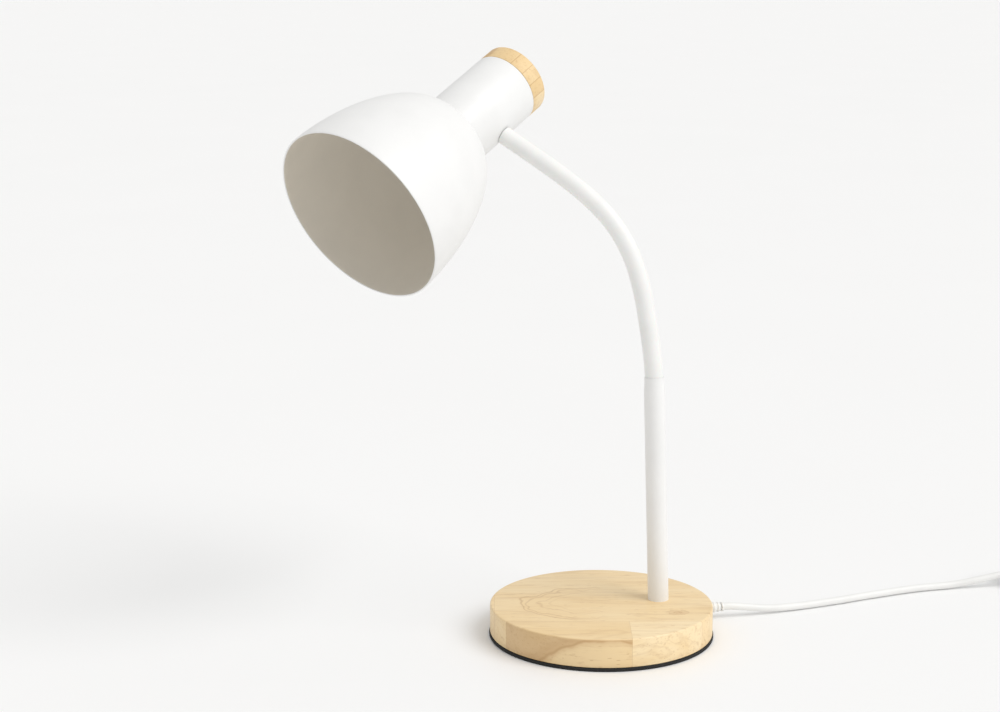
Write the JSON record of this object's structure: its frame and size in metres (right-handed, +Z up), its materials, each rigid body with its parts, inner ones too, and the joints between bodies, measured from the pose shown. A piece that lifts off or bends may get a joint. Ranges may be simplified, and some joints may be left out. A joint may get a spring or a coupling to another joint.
{
  "type": "desk lamp",
  "caption": "Gooseneck desk lamp: round wooden base, upright stem, bending sleeved neck and a swivelling white dome shade with a wooden cap, on a mains cord with a switch and plug",
  "frame": {"origin": "centre of the base's underside, on the desk", "axes": "+Z up, -Y towards the front of the lamp, +Y towards the stem and the mains cord"},
  "size_m": [0.2017, 0.6761, 0.3885],
  "materials": {
    "rubberwood": "satin clear lacquer over glued strips",
    "black_foam": "matt",
    "white_powder_coat": "satin powder coat",
    "white_sleeve": "satin soft plastic",
    "white_cord": "satin",
    "wire_sheath": "satin",
    "bright_steel": "zinc plated",
    "dark_steel": "dark oiled plate",
    "brass": "bare",
    "holder_plastic": "satin moulded",
    "white_plastic": "satin moulded",
    "black_plastic": "matt moulded",
    "switch_plastic": "semi-gloss moulded",
    "rocker_plastic": "semi-gloss moulded"
  },
  "bodies": {
    "lamp_foot": {"ballast_plate": "dark_steel", "ballast_screw_1": "bright_steel", "ballast_screw_2": "bright_steel", "base_disc": "rubberwood", "base_pad": "black_foam", "clamp_screw": "bright_steel", "cord_clamp": "black_plastic", "cord_coil": "white_cord", "cord_gland": "white_plastic", "cord_tie": "black_plastic", "hose_bush": "bright_steel", "hose_root": "bright_steel", "lamp_wire": "wire_sheath", "mains_cord_a": "white_cord", "mains_cord_b": "white_cord", "mains_cord_c": "white_cord", "mains_cord_tail": "white_cord", "plug_body": "switch_plastic", "plug_pin_left": "bright_steel", "plug_pin_right": "bright_steel", "sleeve_root": "white_sleeve", "stem_nipple": "bright_steel", "stem_nut": "bright_steel", "stem_tube": "white_powder_coat", "stem_washer": "bright_steel", "switch_base": "switch_plastic", "switch_cover": "switch_plastic", "switch_screw": "bright_steel", "terminal_block": "white_plastic"},
    "link_1": {"hose_1": "bright_steel", "sleeve_1": "white_sleeve"},
    "link_2": {"hose_2": "bright_steel", "sleeve_2": "white_sleeve"},
    "link_3": {"hose_3": "bright_steel", "sleeve_3": "white_sleeve"},
    "link_4": {"hose_4": "bright_steel", "sleeve_4": "white_sleeve"},
    "link_5": {"hose_5": "bright_steel", "sleeve_5": "white_sleeve"},
    "link_6": {"hose_6": "bright_steel", "sleeve_6": "white_sleeve"},
    "link_7": {"hose_7": "bright_steel", "sleeve_7": "white_sleeve"},
    "link_8": {"hose_8": "bright_steel", "sleeve_8": "white_sleeve", "swivel_stub": "bright_steel", "swivel_washer": "bright_steel", "swivel_nut": "bright_steel"},
    "head": {"neck_housing": "white_powder_coat", "swivel_saddle": "black_plastic", "shade_dome": "white_powder_coat", "shade_ring": "holder_plastic", "holder_body": "holder_plastic", "holder_screw_shell": "brass", "holder_contact": "brass", "head_wire": "wire_sheath", "neck_cap": "rubberwood", "cap_bracket": "bright_steel", "cap_screw": "bright_steel"},
    "rocker": {"switch_rocker": "rocker_plastic"}
  },
  "joints": [
    {"name": "neck_bend_1", "type": "hinge", "parent": "lamp_foot", "child": "link_1", "pos_m": [-0.00385, 0.0347, 0.18684], "axis": [0.809, -0.5878, 0], "range_deg": [-20, 20]},
    {"name": "neck_bend_2", "type": "hinge", "parent": "link_1", "child": "link_2", "pos_m": [-0.00599, 0.03176, 0.21057], "axis": [-0.5791, -0.7971, -0.1712], "range_deg": [-20, 20]},
    {"name": "neck_bend_3", "type": "hinge", "parent": "link_2", "child": "link_3", "pos_m": [-0.00889, 0.02777, 0.23405], "axis": [0.809, -0.5878, 0], "range_deg": [-20, 20]},
    {"name": "neck_bend_4", "type": "hinge", "parent": "link_3", "child": "link_4", "pos_m": [-0.01358, 0.0213, 0.25664], "axis": [-0.5305, -0.7302, -0.4306], "range_deg": [-20, 20]},
    {"name": "neck_bend_5", "type": "hinge", "parent": "link_4", "child": "link_5", "pos_m": [-0.02127, 0.01073, 0.27668], "axis": [0.809, -0.5878, 0], "range_deg": [-20, 20]},
    {"name": "neck_bend_6", "type": "hinge", "parent": "link_5", "child": "link_6", "pos_m": [-0.03158, -0.00347, 0.29299], "axis": [-0.36, -0.4955, -0.7904], "range_deg": [-20, 20]},
    {"name": "neck_bend_7", "type": "hinge", "parent": "link_6", "child": "link_7", "pos_m": [-0.04316, -0.01941, 0.30668], "axis": [0.809, -0.5878, 0], "range_deg": [-20, 20]},
    {"name": "neck_bend_8", "type": "hinge", "parent": "link_7", "child": "link_8", "pos_m": [-0.05518, -0.03596, 0.31923], "axis": [-0.3011, -0.4144, -0.8588], "range_deg": [-20, 20]},
    {"name": "head_swivel", "type": "hinge", "parent": "link_8", "child": "head", "pos_m": [-0.08039, -0.07065, 0.34435], "axis": [-0.5078, -0.6989, 0.5037], "range_deg": [-147, 33]},
    {"name": "switch_rocker_tilt", "type": "hinge", "parent": "lamp_foot", "child": "rocker", "pos_m": [-0.04, 0.349, 0.0128], "axis": [1, 0, 0], "range_deg": [0, 14]}
  ]
}
